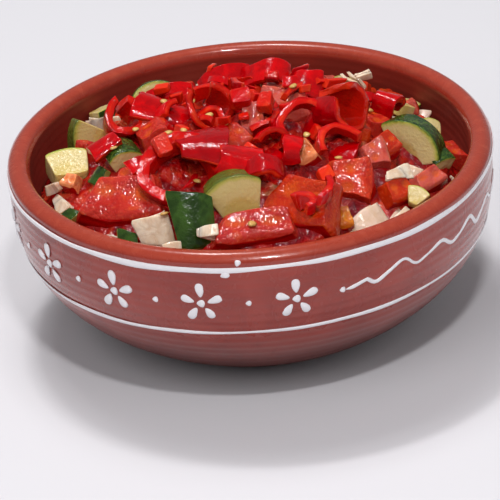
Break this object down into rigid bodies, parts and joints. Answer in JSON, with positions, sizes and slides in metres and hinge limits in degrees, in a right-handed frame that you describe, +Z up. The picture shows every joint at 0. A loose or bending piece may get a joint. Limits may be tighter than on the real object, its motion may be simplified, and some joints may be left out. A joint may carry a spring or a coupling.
{
  "type": "bowl of serbian salad",
  "caption": "Round glazed earthenware bowl with white slip ornament, heaped with chopped tomato, cucumber, onion, green pepper and rings of red pepper.",
  "frame": {"origin": "centre of the bowl's foot, on the surface that it stands on", "axes": "+Z up, -Y towards the front, which the flower ornament faces, +X to the right"},
  "size_m": [0.1716, 0.1716, 0.0899],
  "materials": {
    "glazed_earthenware": "glossy red-brown glaze",
    "slip": "white trailed slip under glaze",
    "salad": "wet chopped vegetables",
    "tomato": "wet cut flesh and glossy skin",
    "cucumber": "wet pale flesh and dark green rind",
    "onion": "wet translucent white flesh",
    "green_pepper": "glossy dark green skin",
    "red_pepper": "glossy red skin",
    "seeds": "smooth pale seeds"
  },
  "bodies": {
    "root": {"bowl": "glazed_earthenware", "salad": "salad"}
  },
  "joints": []
}
